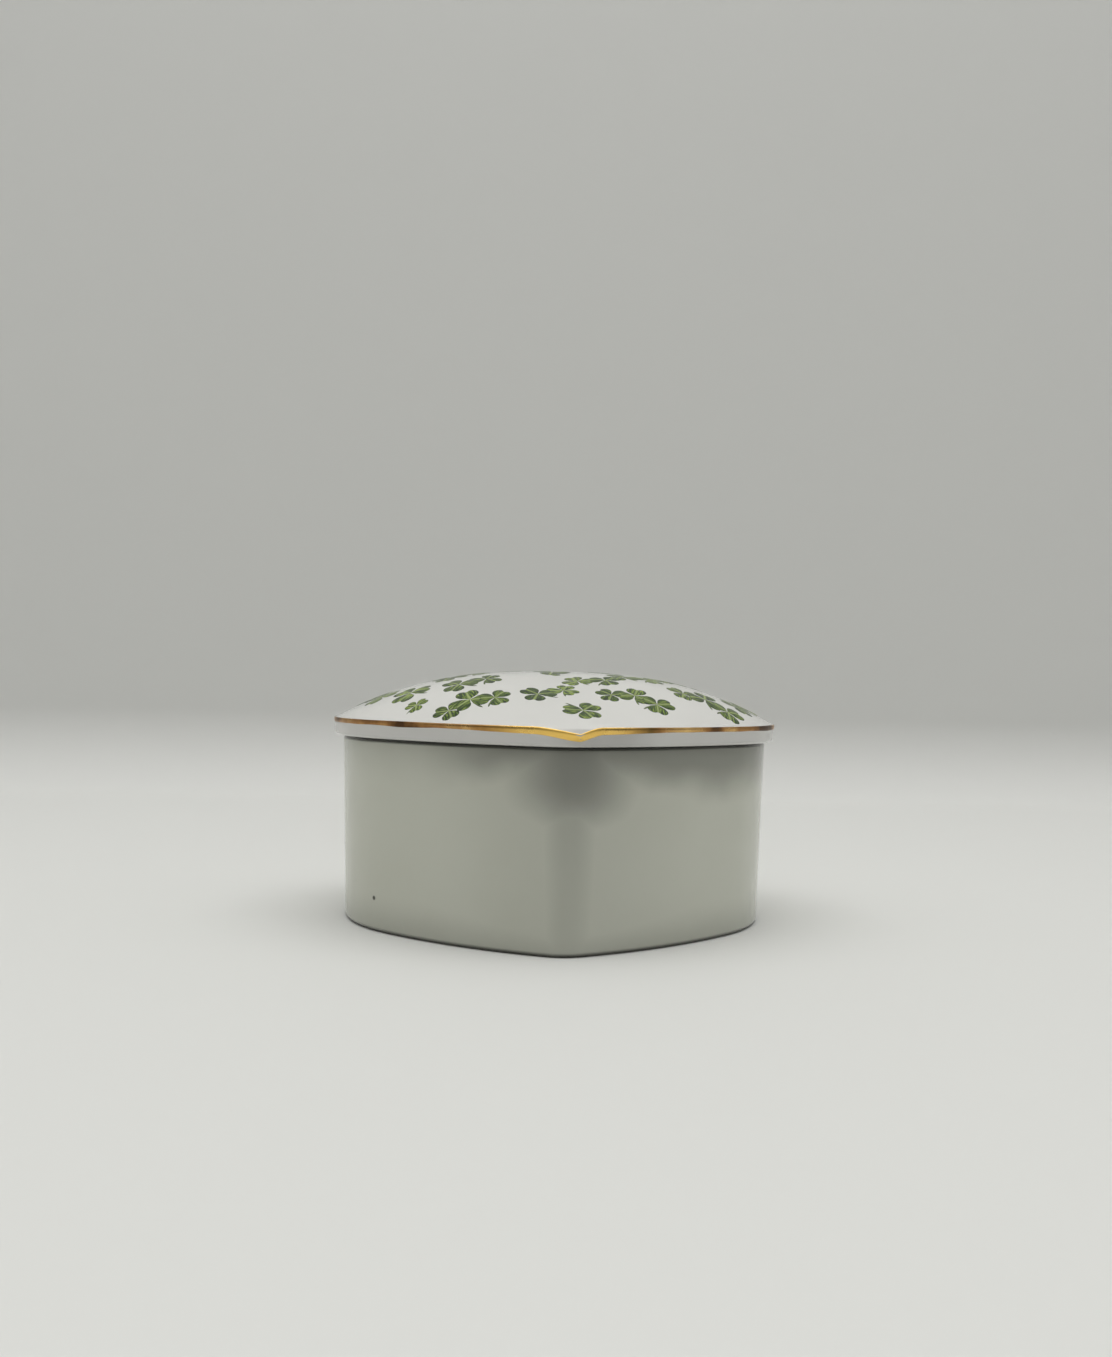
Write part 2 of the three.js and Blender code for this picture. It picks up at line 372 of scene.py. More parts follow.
# %% Helpers for building node trees
def node(tree, kind, inputs=None, **settings):
    """Adds a node, sets its options, and links or sets each named input."""
    made = tree.nodes.new(kind)
    for key, value in settings.items():
        setattr(made, key, value)
    for key, value in (inputs or {}).items():
        if isinstance(value, bpy.types.NodeSocket):
            tree.links.new(value, made.inputs[key])
        else:
            made.inputs[key].default_value = value
    return made


def maths(tree, operation, a, b, c=0.0):
    """One sum, product or comparison of numbers. MULTIPLY_ADD is a times b plus c."""
    return node(tree, "ShaderNodeMath", {0: a, 1: b, 2: c}, operation=operation).outputs[0]


def largest(tree, first, *others):
    """The largest of several numbers."""
    for other in others:
        first = maths(tree, "MAXIMUM", first, other)
    return first


def span(tree, value, start, end, low=0.0, high=1.0, kind="SMOOTHSTEP"):
    """Maps a value from start..end to low..high and holds it there beyond both ends."""
    limits = {"Value": value, "From Min": start, "From Max": end, "To Min": low, "To Max": high}
    return node(tree, "ShaderNodeMapRange", limits, interpolation_type=kind).outputs[0]


def noise(tree, place, scale, detail):
    """Soft random patches from 0 to 1, with this many to the metre."""
    made = node(tree, "ShaderNodeTexNoise", {"Vector": place, "Scale": scale, "Detail": detail})
    return made.outputs["Fac"]


def place_in_mm(tree, place):
    """The x, y and z of a place, in mm."""
    scaled = node(tree, "ShaderNodeVectorMath", {0: place, "Scale": 1 / MM}, operation="SCALE").outputs[0]
    return node(tree, "ShaderNodeSeparateXYZ", {"Vector": scaled}).outputs


def away_from(tree, value, middle):
    """How far a number is from a middle value, on either side."""
    return maths(tree, "ABSOLUTE", maths(tree, "SUBTRACT", value, middle), 0.0)


# %% Helpers for materials
def new_material(name):
    """An empty material, its tree, and its Principled shader."""
    material = bpy.data.materials.new(name)
    material.use_nodes = True
    return material, material.node_tree, material.node_tree.nodes["Principled BSDF"]


def object_place(tree):
    """Where each point lies on the object itself, however the object is moved."""
    return node(tree, "ShaderNodeTexCoord").outputs["Object"]


def attribute(tree, name):
    """Reads a named number of the mesh in a material."""
    return node(tree, "ShaderNodeAttribute", attribute_name=name).outputs["Fac"]


def blend(tree, share, a, b):
    """Mixes two colours: all a at share 0, all b at share 1."""
    made = node(tree, "ShaderNodeMix", {"Factor": share, "A": a, "B": b}, data_type="RGBA")
    return made.outputs["Result"]


def ramp(tree, factor, stops):
    """A colour ramp with the given (position, colour) stops."""
    made = node(tree, "ShaderNodeValToRGB", {"Fac": factor})
    elements = made.color_ramp.elements
    while len(elements) < len(stops):
        elements.new(0.5)
    for element, (position, colour) in zip(elements, stops):
        element.position = position
        element.color = (*colour, 1)
    return made.outputs["Color"]


def ripple(tree, shader, height, strength, distance):
    """Tilts the shading of a surface as if it had these small heights."""
    bump = node(tree, "ShaderNodeBump", {"Height": height, "Strength": strength, "Distance": distance})
    tree.links.new(bump.outputs["Normal"], shader.inputs["Normal"])


# %% The glaze itself
SPECK_CELLS = 95.0
SPECK_SHARE = 0.025
SPECK_PLACE = (-0.0304, -0.0105, 0.0056)  # in metres, like the place it is measured from
SPECK_REACH = (0.0005, 0.0002)


def specks(tree, place):
    """Rare dark dots: one cell in forty holds one, and a single one sits low on the left of the front."""
    cells = node(tree, "ShaderNodeTexVoronoi", {"Vector": place, "Scale": SPECK_CELLS, "Randomness": 1.0})
    draw = node(tree, "ShaderNodeSeparateColor", {"Color": cells.outputs["Color"]}).outputs["Red"]
    chosen = maths(tree, "LESS_THAN", draw, SPECK_SHARE)
    near = span(tree, cells.outputs["Distance"], 0.018, 0.04, 1.0, 0.0, "LINEAR")
    away = node(tree, "ShaderNodeVectorMath", {0: place, 1: SPECK_PLACE}, operation="DISTANCE")
    single = span(tree, away.outputs["Value"], *SPECK_REACH)
    return maths(tree, "MULTIPLY_ADD", chosen, near, single)


def glaze(name, thin, pooled, gloss, speck_shade, paint_shade_and_marks):
    """Glazed porcelain: two close tones with specks, painted shade and marks from the given function, and
    a gently uneven surface.
    """
    material, tree, shader = new_material(name)
    place = object_place(tree)
    tone = ramp(tree, noise(tree, place, 38.0, 3.0), [(0.35, pooled), (0.65, thin)])
    shader.inputs["Roughness"].default_value = gloss
    # The given function paints shade onto the colour, and on the body also a bare ring under the foot.
    colour = paint_shade_and_marks(tree, shader, place, blend(tree, specks(tree, place), tone, speck_shade))
    tree.links.new(colour, shader.inputs["Base Color"])
    swell = noise(tree, place, 22.0, 1.5)
    grain = noise(tree, place, 620.0, 2.0)
    ripple(tree, shader, maths(tree, "MULTIPLY_ADD", grain, 0.02, swell), 0.25, 0.0012)
    shader.inputs["IOR"].default_value = 1.5
    shader.inputs["Coat Weight"].default_value = 0.35
    shader.inputs["Coat Roughness"].default_value = 0.04
    return material


# %% [markdown]
# ## Painted shade, painted shadow lines and the bare foot
#
# Towards the tip the body's outside is darker, in painted shade and painted dark reflection: a band of
# painted shadow under the lid's overhang with a bloom in its middle, a faint darker run down the tip, and
# a little painted shade low down and where the wall faces the front. Two thin dark lines, close under the
# rim and along the foot, are painted shadow for the deep shade in the joint and against the table. Under
# the foot a ring is wiped clean before firing, or it would fuse to the kiln shelf, and stays dry and
# creamy. The flange is painted greyer than the dome, as painted shade, most of all beside its beak, where
# it is a painted dark reflection.
#
# Painting by hand could do this, but it would need an image. Here each patch of painted shade, and the
# bare ring, is a few smooth ranges multiplied together, in mm on the object, and noise shifts their
# heights so that no edge is straight. The "outside" mark keeps them off the rim's top and the inside.

# %% Where the painted shade lies
# Each range, in mm, says where a patch of painted shade, or the bare ring, begins and where it is full,
# and, when they aren't 0 and 1, how strong it is at either end. BAND_DROP alone gives mm: it lets the band
# hang lower on the right.
FRONT = (12.0, -4.0)
SHADE_PATCHES = 70.0
SHADE_WANDER = 6.0
# Painted shade: a band of painted shadow under the lid's overhang, a bloom and a run of painted dark
# reflection on the front, and painted shade low down and where the wall faces the front.
BAND_HEIGHT = (23.8, 31.0, 0.0, 0.56)
BAND_SIDE = (-26.0, -8.0, 0.2, 1.0)
BAND_DROP = (4.0, 14.0, 0.0, 1.6)
BLOOM_MIDDLE = 1.2
BLOOM_HEIGHT = (16.5, 27.5, 0.0, 0.64)
BLOOM_REACH = (14.0, 1.0)
TIP_MIDDLE = 0.6
TIP_REFLECTION_HEIGHT = (0.0, 30.0, 0.22, 0.36)
TIP_REFLECTION_REACH = (6.5, 0.5)
TIP_SHADE = (24.0, 2.0, 0.0, 0.12)
FOOT_SHADE = (7.0, 0.5, 0.0, 0.2)
# Two painted shadow lines: in the joint under the lid, and where the foot meets the table.
LIP_LINE = (31.1, 31.6, 0.0, 0.95)
FOOT_LINE = (1.0, 0.3, 0.0, 0.85)
FOOT_LINE_START = (0.04, 0.15)
BARE_RING = (0.12, 0.04)
# Painted shade on the lid's upright flange, strongest just right of its beak as a painted dark reflection.
FLANGE_HEIGHT = (35.0, 34.6)
FLANGE_GREY_MIDDLE = 6.0
FLANGE_GREY = (10.0, 2.0, 0.15, 0.36)
# Colours: the body's painted shade, the bare biscuit, and the flange's painted shade.
PAINTED_SHADE_TONE = (0.03, 0.032, 0.026, 1)
BISCUIT_SHADE = (0.60, 0.56, 0.48, 1)
FLANGE_SHADE = (0.1, 0.085, 0.08, 1)
BODY_GLOSS = 0.14
LID_GLOSS = 0.12
BISCUIT_DRYNESS = 0.8


# %% Mix the stains
def painted_shade(tree, place):
    """How dark the body's outside is painted, from 0 to 1: painted shade and painted dark reflection on
    its front, and the two painted shadow lines.
    """
    x, y, z = place_in_mm(tree, place)
    drift = maths(tree, "SUBTRACT", noise(tree, place, SHADE_PATCHES, 2.5), 0.5)
    height = maths(tree, "ADD", z, maths(tree, "MULTIPLY", drift, SHADE_WANDER))
    lower = maths(tree, "ADD", height, span(tree, x, *BAND_DROP))
    band = maths(tree, "MULTIPLY", span(tree, lower, *BAND_HEIGHT), span(tree, x, *BAND_SIDE))
    beside = away_from(tree, x, BLOOM_MIDDLE)
    bloom = maths(tree, "MULTIPLY", span(tree, height, *BLOOM_HEIGHT), span(tree, beside, *BLOOM_REACH))
    from_tip = away_from(tree, x, TIP_MIDDLE)
    tip_reflection = maths(tree, "MULTIPLY", span(tree, from_tip, *TIP_REFLECTION_REACH), span(tree, height, *TIP_REFLECTION_HEIGHT))
    shade = largest(tree, span(tree, z, *FOOT_SHADE), span(tree, from_tip, *TIP_SHADE))
    shaded = maths(tree, "MULTIPLY", largest(tree, band, bloom, tip_reflection, shade), span(tree, y, *FRONT))
    foot = maths(tree, "MULTIPLY", span(tree, z, *FOOT_LINE), span(tree, z, *FOOT_LINE_START))
    taken = largest(tree, shaded, span(tree, z, *LIP_LINE), foot)
    return maths(tree, "MULTIPLY", taken, attribute(tree, "outside"))


def shade_body_and_bare_foot(tree, shader, place, colour):
    """Painted shade on the outside, and a dry ring of bare biscuit under the foot."""
    shaded = blend(tree, painted_shade(tree, place), colour, PAINTED_SHADE_TONE)
    bare = span(tree, place_in_mm(tree, place)[2], *BARE_RING)
    tree.links.new(span(tree, bare, 0.0, 1.0, BODY_GLOSS, BISCUIT_DRYNESS), shader.inputs["Roughness"])
    return blend(tree, bare, shaded, BISCUIT_SHADE)


def shade_flange(tree, shader, place, colour):
    """Painted shade on the flange, and a painted dark reflection just right of its beak."""
    x, _, z = place_in_mm(tree, place)
    beside = away_from(tree, x, FLANGE_GREY_MIDDLE)
    grey = maths(tree, "MULTIPLY", span(tree, z, *FLANGE_HEIGHT), span(tree, beside, *FLANGE_GREY))
    return blend(tree, grey, colour, FLANGE_SHADE)


# %% Glaze the body and the lid
# The body's tones are darker than the lid's: painted shade, for walls that get less light than the lid's
# top.
body_glaze = glaze("body glaze", (0.58, 0.592, 0.515), (0.555, 0.565, 0.485), BODY_GLOSS,
                   (0.05, 0.05, 0.035, 1), shade_body_and_bare_foot)
lid_glaze = glaze("lid glaze", (0.74, 0.735, 0.71), (0.715, 0.71, 0.685), LID_GLOSS,
                  (0.16, 0.14, 0.1, 1), shade_flange)
porcelain_body.data.materials.append(body_glaze)
porcelain_lid.data.materials.append(lid_glaze)
print("glazes:", body_glaze.name, "and", lid_glaze.name)

# %% [markdown]
# ## The gilt line
#
# A gilder sets the lid on a turntable and holds a loaded brush against its edge. The brush lies over
# the corner, so a little gold lands on the flange and more on the dome, and the line is never quite
# even. Here the edge is the path, and a flat lens of a section is swept along it by Geometry Nodes.
# The nodes then press each point onto the lid: the upper half of the lens ends a few hundredths of
# a millimetre above the glaze and the lower half sinks below it, so no gap shows at its edges.

# %% Helpers for geometry nodes
def named(tree, name):
    """Reads a named number from the geometry."""
    return node(tree, "GeometryNodeInputNamedAttribute", {"Name": name}).outputs["Attribute"]


def point_place(tree):
    """The x, y and z of each point of the geometry."""
    position = node(tree, "GeometryNodeInputPosition").outputs[0]
    return node(tree, "ShaderNodeSeparateXYZ", {"Vector": position}).outputs


def node_group(name, **sockets):
    """A geometry node tree with a Geometry input, the given named inputs, and a Geometry output."""
    tree = bpy.data.node_groups.new(name, "GeometryNodeTree")
    tree.interface.new_socket("Geometry", in_out="INPUT", socket_type="NodeSocketGeometry")
    for label, kind in sockets.items():
        tree.interface.new_socket(label, in_out="INPUT", socket_type="NodeSocket" + kind)
    tree.interface.new_socket("Geometry", in_out="OUTPUT", socket_type="NodeSocketGeometry")
    return tree, node(tree, "NodeGroupInput").outputs


def finish_group(tree, shape, material):
    """Ends a tree: plain geometry, smooth shading and a material."""
    real = node(tree, "GeometryNodeRealizeInstances", {"Geometry": shape})
    smooth = node(tree, "GeometryNodeSetShadeSmooth", {"Geometry": real.outputs[0]})
    painted = node(tree, "GeometryNodeSetMaterial", {"Geometry": smooth.outputs[0], "Material": material})
    node(tree, "NodeGroupOutput", {"Geometry": painted.outputs[0]})


def grow(name, start_mesh, tree, **values):
    """Runs a node tree on a mesh with these input values, and keeps the result as a plain mesh."""
    seed = bpy.data.objects.new(name, start_mesh)
    bpy.context.scene.collection.objects.link(seed)
    modifier = seed.modifiers.new("nodes", "NODES")
    modifier.node_group = tree
    for item in tree.interface.items_tree:
        if item.in_out == "INPUT" and item.name in values:
            modifier[item.identifier] = values[item.name]
    grown = bpy.data.meshes.new_from_object(seed.evaluated_get(bpy.context.evaluated_depsgraph_get()))
    seed.modifiers.clear()
    seed.data = grown
    print(name, "has", len(grown.polygons), "faces")
    return seed


# %% Press a shape onto the lid
FILM = 0.035  # how far gold and enamel stand above the glaze
SINK = 0.05  # and how far their undersides lie below it


def press(tree, shape, spot, upright, film):
    """Moves a shape's points to spots on the lid: just above the glaze, or below it, by "lift"."""
    lift = named(tree, "lift")
    above = maths(tree, "MULTIPLY", maths(tree, "MAXIMUM", lift, 0.0), film)
    height = maths(tree, "MULTIPLY_ADD", maths(tree, "MINIMUM", lift, 0.0), SINK * MM, above)
    raised = node(tree, "ShaderNodeVectorMath", {0: upright, "Scale": height}, operation="SCALE")
    place = node(tree, "ShaderNodeVectorMath", {0: spot, 1: raised.outputs[0]}, operation="ADD")
    return node(tree, "GeometryNodeSetPosition", {"Geometry": shape, "Position": place.outputs[0]})


# %% Gold, with a painted highlight near the tip, and worn elsewhere
SCORCHED_GOLD = (0.09, 0.045, 0.018)
WORN_GOLD = (0.38, 0.19, 0.065)
THICK_GOLD = (0.72, 0.48, 0.19)
TIP_HIGHLIGHT_GOLD = (1.0, 0.66, 0.17, 1)
TIP_HIGHLIGHT_SIDE = (16.0, 3.0)
TIP_HIGHLIGHT_BACK = (-12.0, -24.0, 0.0, 0.95)


def gilding():
    """Gold fired on thinly: bright where it is thick, brown where it is worn or scorched, with a painted
    highlight near the tip.
    """
    material, tree, shader = new_material("gilding")
    place = object_place(tree)
    wear = noise(tree, place, 130.0, 4.0)
    worn = ramp(tree, wear, [(0.38, SCORCHED_GOLD), (0.5, WORN_GOLD), (0.66, THICK_GOLD)])
    x, y, _ = place_in_mm(tree, place)
    aside = away_from(tree, x, 0.0)
    # Painted highlight: the gold is lightened towards the tip.
    bright = maths(tree, "MULTIPLY", span(tree, aside, *TIP_HIGHLIGHT_SIDE), span(tree, y, *TIP_HIGHLIGHT_BACK))
    tree.links.new(blend(tree, bright, worn, TIP_HIGHLIGHT_GOLD), shader.inputs["Base Color"])
    tree.links.new(span(tree, wear, 0.3, 0.7, 0.42, 0.2, "LINEAR"), shader.inputs["Roughness"])
    ripple(tree, shader, noise(tree, place, 900.0, 2.0), 0.3, 0.0001)
    shader.inputs["Metallic"].default_value = 0.9
    return material


# %% Sweep the gilt line round the edge
GILT_CENTRE = (-0.14, 0.17)
GILT_HALF = (-0.46, 0.59)
GILT_POINTS = 20
GILT_SWELL = (tip_y + 4, tip_y - 2)
GILT_SWELL_BY = 0.35


def loop_mesh(name, points):
    """A closed loop of edges through the points, in mm from the foot's tip."""
    count = len(points)
    mesh = bpy.data.meshes.new(name)
    edges = [(i, (i + 1) % count) for i in range(count)]
    mesh.from_pydata(((points + (0, tip_y, 0)) * MM).tolist(), edges, [])
    return mesh


def gilt_lens(tree):
    """A flat lens to sweep, with each point's height in it kept as "lift"."""
    circle = node(tree, "GeometryNodeCurvePrimitiveCircle", {"Resolution": GILT_POINTS, "Radius": 1.0})
    round_x, round_y, _ = point_place(tree)
    lens = node(tree, "GeometryNodeStoreNamedAttribute",
                {"Geometry": circle.outputs["Curve"], "Name": "lift", "Value": round_y})
    flat_x, flat_y = (maths(tree, "MULTIPLY_ADD", round_x, half * MM, centre * MM)
                      for half, centre in zip(GILT_HALF, GILT_CENTRE))
    chord = node(tree, "ShaderNodeCombineXYZ", {"X": flat_x, "Y": flat_y}).outputs[0]
    flat = node(tree, "GeometryNodeSetPosition", {"Geometry": lens.outputs[0], "Position": chord})
    return flat.outputs[0]


def gilt_tree(material):
    """Sweeps a flat lens along the loop and presses it onto the lid."""
    tree, given = node_group("gilt line", Lid="Object", Unevenness="Float", Seed="Float")
    path = node(tree, "GeometryNodeMeshToCurve", {"Mesh": given["Geometry"]}).outputs["Curve"]
    upright = node(tree, "GeometryNodeSetCurveNormal", {"Curve": path}, mode="Z_UP").outputs[0]
    sway = node(tree, "ShaderNodeTexNoise", {"Scale": 90.0, "W": given["Seed"]}, noise_dimensions="4D")
    drift = maths(tree, "SUBTRACT", sway.outputs["Fac"], 0.5)
    width = maths(tree, "MULTIPLY_ADD", drift, given["Unevenness"], 1.0)
    swell = span(tree, point_place(tree)[1], *(y * MM for y in GILT_SWELL), 0.0, GILT_SWELL_BY, "LINEAR")
    band = node(tree, "GeometryNodeCurveToMesh", {"Curve": upright, "Profile Curve": gilt_lens(tree),
                                                  "Scale": maths(tree, "ADD", width, swell)})
    lid = node(tree, "GeometryNodeObjectInfo", {"Object": given["Lid"]}).outputs["Geometry"]
    near = node(tree, "GeometryNodeProximity", {"Geometry": lid}).outputs["Position"]
    normal = node(tree, "GeometryNodeInputNormal").outputs[0]
    facing = node(tree, "GeometryNodeSampleNearestSurface", {"Mesh": lid, "Value": normal},
                  data_type="FLOAT_VECTOR").outputs["Value"]
    pressed = press(tree, band.outputs[0], near, facing, FILM * MM)
    finish_group(tree, pressed.outputs[0], material)
    return tree


edge_loop = draw_out(level_ring(EDGE_OVERHANG, EDGE_TOP), 1)
gilt_line = grow("gilt_line", loop_mesh("edge path", edge_loop), gilt_tree(gilding()),
                 Lid=porcelain_lid, Unevenness=0.7, Seed=3.0)

# %% [markdown]
# ## The clover sprays
#
# The clovers are a printed transfer: green enamel on thin film, cut into sprays, slid wet onto the
# glaze and fired. Every head has three heart-shaped leaves with a pale vein down the middle and a
# darker rim. Where each spray goes is up to the decorator's eye, so it is a list and not a formula:
# it gives where a spray lies, which way it turns and how many heads it has. Geometry Nodes then lay
# a clover on each spot, with its own turn, size and tone, and drop it straight down onto the dome.

# %% One clover
LEAF_LENGTH = 3.3
LEAF_SPREAD = math.radians(59)
LEAF_NOTCH = 0.17
LEAF_NOTCH_WIDTH = 0.16
LEAF_STEPS = 26
LEAF_TURNS = (90, 210, 330)
# Each ring of a leaf: how far out from its middle it lies, and how high in the film.
LEAF_RINGS = ((0.05, 1), (0.4, 0.96), (0.75, 0.8), (0.94, 0.45), (1, 0), (0.94, -1), (0.4, -1), (0.05, -1))
STEM_STEPS = 9


def leaf(turn):
    """Rings of one leaf, as x, y, lift, along, across: from its top down round its rim."""
    angle = np.linspace(-LEAF_SPREAD, LEAF_SPREAD, LEAF_STEPS + 1)[:-1]
    dent = 1 - LEAF_NOTCH * np.exp(-((angle / LEAF_NOTCH_WIDTH) ** 2))
    reach = dent * np.sqrt(1 - np.abs(angle / LEAF_SPREAD) ** 3)
    rim = LEAF_LENGTH * reach[:, None] * np.column_stack([np.cos(angle), np.sin(angle)])
    middle = np.array([LEAF_LENGTH * 0.5, 0])
    cos, sin = math.cos(turn), math.sin(turn)
    rings = []
    for share, lift in LEAF_RINGS:
        flat = middle + (rim - middle) * share
        swung = flat @ np.array([[cos, sin], [-sin, cos]])
        rings.append(np.column_stack([swung, np.full(len(flat), lift), flat / LEAF_LENGTH]))
    return rings


def stem():
    """Rings of a curved, tapering stem: four points each, at its top, its sides and below."""
    rings = []
    for share in np.linspace(0, 1, STEM_STEPS + 1):
        middle = np.array([0.25 + 0.9 * share**2, -0.2 - 3.3 * share])
        side = np.array([1, 0.4 * share]) * (0.11 + 0.11 * share) * math.sqrt(1.02 - share**6)
        rings.append(np.array([[*middle, 0.9, share, 0], [*(middle + side), 0, share, 0.5],
                               [*middle, -1, share, 0], [*(middle - side), 0, share, 0.5]]))
    return rings[::-1]


def clover_mesh():
    """Three leaves and a stem as one mesh, flat, with the named numbers that the nodes and enamel read."""
    rows, faces = [], []
    for rings in (*(leaf(math.radians(turn)) for turn in LEAF_TURNS), stem()):
        base, count = len(rows), len(rings[0])
        for ring in rings:
            rows += list(ring)
        for row in range(len(rings) - 1):
            for i in range(count):
                a, b = base + row * count + i, base + row * count + (i + 1) % count
                faces.append((a, a + count, b + count, b))
        faces.append(tuple(range(base, base + count)))
        faces.append(tuple(range(base + len(rings) * count - 1, base + (len(rings) - 1) * count - 1, -1)))
    rows = np.array(rows)
    mesh = bpy.data.meshes.new("clover")
    mesh.from_pydata((rows[:, :3] * (MM, MM, 0)).tolist(), [], faces)
    for column, name in ((2, "lift"), (3, "along"), (4, "across")):
        mesh.attributes.new(name, "FLOAT", "POINT").data.foreach_set("value", rows[:, column])
    return mesh


clover = bpy.data.objects.new("clover", clover_mesh())
print("one clover has", len(clover.data.polygons), "faces")

# %% Where the sprays lie
# For each spray: mm right of the middle, mm behind the foot's tip, its turn in degrees, and its kind.
SPRAYS = [
    (2.7, 4.9, 205, "one"), (-2.0, 12.9, 20, "pair"), (-14.9, 10.3, 14, "three"),
    (11.5, 11.8, -14, "three"), (24.3, 18.0, -10, "three"), (-25.3, 20.2, 30, "one"),
    (-23.8, 13.8, -60, "bud"), (-14.8, 19.0, 12, "pair"), (5.1, 19.4, -8, "pair"),
    (-17.0, 27.0, 20, "pair"), (-1.2, 27.2, 170, "one"), (13.0, 23.2, 4, "pair"),
    (32.0, 25.5, 60, "pair"), (-31.5, 27.5, 110, "pair"), (20.5, 29.5, 35, "three"),
    (5.5, 33.5, -30, "three"), (-8.5, 35.5, 80, "three"), (-24.0, 36.5, 150, "three"),
    (-33.0, 38.5, 15, "one"), (33.0, 38.0, -140, "one"), (19.0, 41.5, 190, "pair"),
    (5.0, 43.5, 40, "pair"), (-13.0, 46.5, -35, "pair"), (-26.0, 47.5, 160, "pair"),
    (25.0, 46.0, 20, "pair"), (-15.0, 54.5, -15, "bud"), (15.5, 52.0, 80, "one"),
    (-3.0, 43.0, 10, "bud"),
]
# For each head of a kind: mm right, mm back, its turn in degrees, and its size.
KINDS = {
    "one": [(0, 0, 0, 1.12)],
    "bud": [(0, 0, 0, 0.62)],
    "pair": [(-2.4, -0.2, 25, 0.96), (2.4, 0.4, -35, 0.92)],
    "three": [(-3.7, -0.5, 60, 0.84), (0.0, 0.8, 0, 1.0), (3.8, -0.5, -50, 0.92)],
}
DROP_HEIGHT = 60.0
SIZE_DRIFT = (0.92, 1.08)
print(len(SPRAYS), "sprays with", sum(len(KINDS[spray[3]]) for spray in SPRAYS), "clovers")


def spray_points():
    """One point for each head, high over the lid, with its turn, size, tone and place in the spray."""
    rng = np.random.default_rng(11)
    spots, numbers = [], []
    for right, back, turn, kind in SPRAYS:
        for k, (x, y, extra, size) in enumerate(KINDS[kind]):
            way = math.radians(turn)
            spots.append((right + x * math.cos(way) - y * math.sin(way),
                          back + x * math.sin(way) + y * math.cos(way) + tip_y, DROP_HEIGHT))
            drawn = size * rng.uniform(*SIZE_DRIFT)
            numbers.append((math.radians(turn + extra), drawn, rng.uniform(0, 1), k))
    mesh = bpy.data.meshes.new("spray points")
    mesh.from_pydata((np.array(spots) * MM).tolist(), [], [])
    for column, name in enumerate(("turn", "size", "tone", "layer")):
        mesh.attributes.new(name, "FLOAT", "POINT").data.foreach_set("value", np.array(numbers)[:, column])
    return mesh


# %% Green enamel
DEEP_GREEN = (0.012, 0.032, 0.002)
LEAF_GREEN = (0.05, 0.10, 0.008)
PALE_GREEN = (0.26, 0.34, 0.07)
RIM_GREEN = (0.014, 0.038, 0.006, 1)
VEIN_GREEN = (0.34, 0.41, 0.15, 1)


def enamel():
    """Green enamel: dark at the leaf's rim, pale along its vein, a little different on each clover."""
    material, tree, shader = new_material("clover enamel")
    along, across, tone, lift = (attribute(tree, name) for name in ("along", "across", "tone", "lift"))
    stroke = node(tree, "ShaderNodeCombineXYZ", {"X": maths(tree, "MULTIPLY", across, 7.0), "Y": along,
                                                 "Z": maths(tree, "MULTIPLY", tone, 40.0)})
    streak = span(tree, noise(tree, stroke.outputs[0], 1.7, 2.0), 0.3, 0.7)
    shade = maths(tree, "ADD", maths(tree, "MULTIPLY", streak, 0.7), maths(tree, "MULTIPLY", tone, 0.3))
    green = ramp(tree, shade, [(0.2, DEEP_GREEN), (0.5, LEAF_GREEN), (0.85, PALE_GREEN)])
    rimmed = blend(tree, span(tree, lift, 0.1, 0.7, 0.55, 0.0, "LINEAR"), green, RIM_GREEN)
    vein = span(tree, away_from(tree, across, 0.0), 0.015, 0.09, 0.75, 0.0, "LINEAR")
    tree.links.new(blend(tree, vein, rimmed, VEIN_GREEN), shader.inputs["Base Color"])
    shader.inputs["Roughness"].default_value = 0.25
    shader.inputs["Specular IOR Level"].default_value = 0.35
    return material


# %% Lay the clovers on the dome
LAYER_STEP = 0.25  # each head of a spray stands this share of a film higher than the one before


def clover_tree(material):
    """Instances the clover on each spray point, turned and sized, and drops it onto the lid."""
    tree, given = node_group("clovers", Clover="Object", Lid="Object", Film="Float")
    shape = node(tree, "GeometryNodeObjectInfo", {"Object": given["Clover"]}).outputs["Geometry"]
    spin = node(tree, "ShaderNodeCombineXYZ", {"Z": named(tree, "turn")})
    turned = node(tree, "FunctionNodeEulerToRotation", {"Euler": spin.outputs[0]})
    laid = node(tree, "GeometryNodeInstanceOnPoints",
                {"Points": given["Geometry"], "Instance": shape, "Rotation": turned.outputs[0],
                 "Scale": named(tree, "size")})
    real = node(tree, "GeometryNodeRealizeInstances", {"Geometry": laid.outputs[0]})
    lid = node(tree, "GeometryNodeObjectInfo", {"Object": given["Lid"]}).outputs["Geometry"]
    fall = node(tree, "GeometryNodeRaycast", {"Target Geometry": lid, "Ray Direction": (0, 0, -1),
                                              "Ray Length": DROP_HEIGHT * MM})
    stack = maths(tree, "MULTIPLY_ADD", named(tree, "layer"), LAYER_STEP, 1.0)
    film = maths(tree, "MULTIPLY", stack, given["Film"])
    spot, upright = fall.outputs["Hit Position"], fall.outputs["Hit Normal"]
    pressed = press(tree, real.outputs[0], spot, upright, film)
    finish_group(tree, pressed.outputs[0], material)
    return tree


clover_sprays = grow("clover_sprays", spray_points(), clover_tree(enamel()),
                     Clover=clover, Lid=porcelain_lid, Film=FILM * MM)
bpy.data.objects.remove(clover)

# %% [markdown]
# ## Riding and replacing
#
# Both finer skins stand for a CAD solid, which stays hidden for collision, and ride on its body.
# The gold and the enamel are fired onto the lid, so they ride with it.

